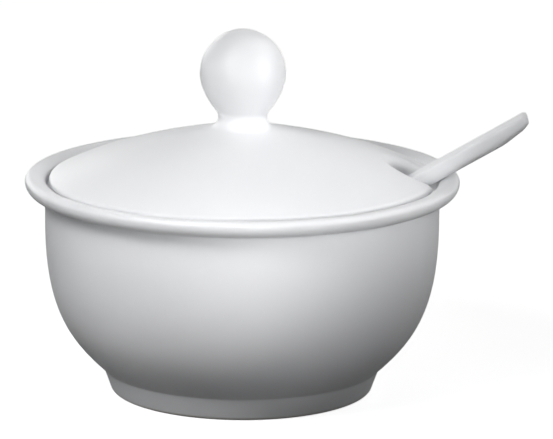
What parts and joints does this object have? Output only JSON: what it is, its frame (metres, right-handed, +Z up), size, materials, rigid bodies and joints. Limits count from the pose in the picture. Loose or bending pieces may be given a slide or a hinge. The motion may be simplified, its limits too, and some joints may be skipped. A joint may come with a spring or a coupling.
{
  "type": "sauce boat",
  "caption": "Round white porcelain sauce bowl on a foot ring, with a domed lid that lifts by an egg-shaped knob and a spoon that leaves through a half-round notch in the lid.",
  "frame": {"origin": "on the bowl's axis in the plane of the table, in the middle of the foot ring", "axes": "+Z up along the bowl's axis, +X towards the spoon's handle and the lid's notch, +Y to complete a right-handed frame"},
  "size_m": [0.1363, 0.1178, 0.0994],
  "materials": {
    "bowl_glaze": "white clear-glazed porcelain, gloss",
    "lid_glaze": "white clear-glazed porcelain, gloss",
    "spoon_glaze": "white clear-glazed porcelain, gloss"
  },
  "bodies": {
    "bowl": {"bowl": "bowl_glaze"},
    "lid": {"lid": "lid_glaze"},
    "spoon": {"spoon": "spoon_glaze"}
  },
  "joints": [
    {"name": "lid_lift", "type": "slide", "parent": "bowl", "child": "lid", "axis": [0, 0, 1], "range_m": [0, 0.05]},
    {"name": "spoon_draw", "type": "slide", "parent": "bowl", "child": "spoon", "axis": [0.8645, 0, 0.5027], "range_m": [0, 0.04]}
  ]
}
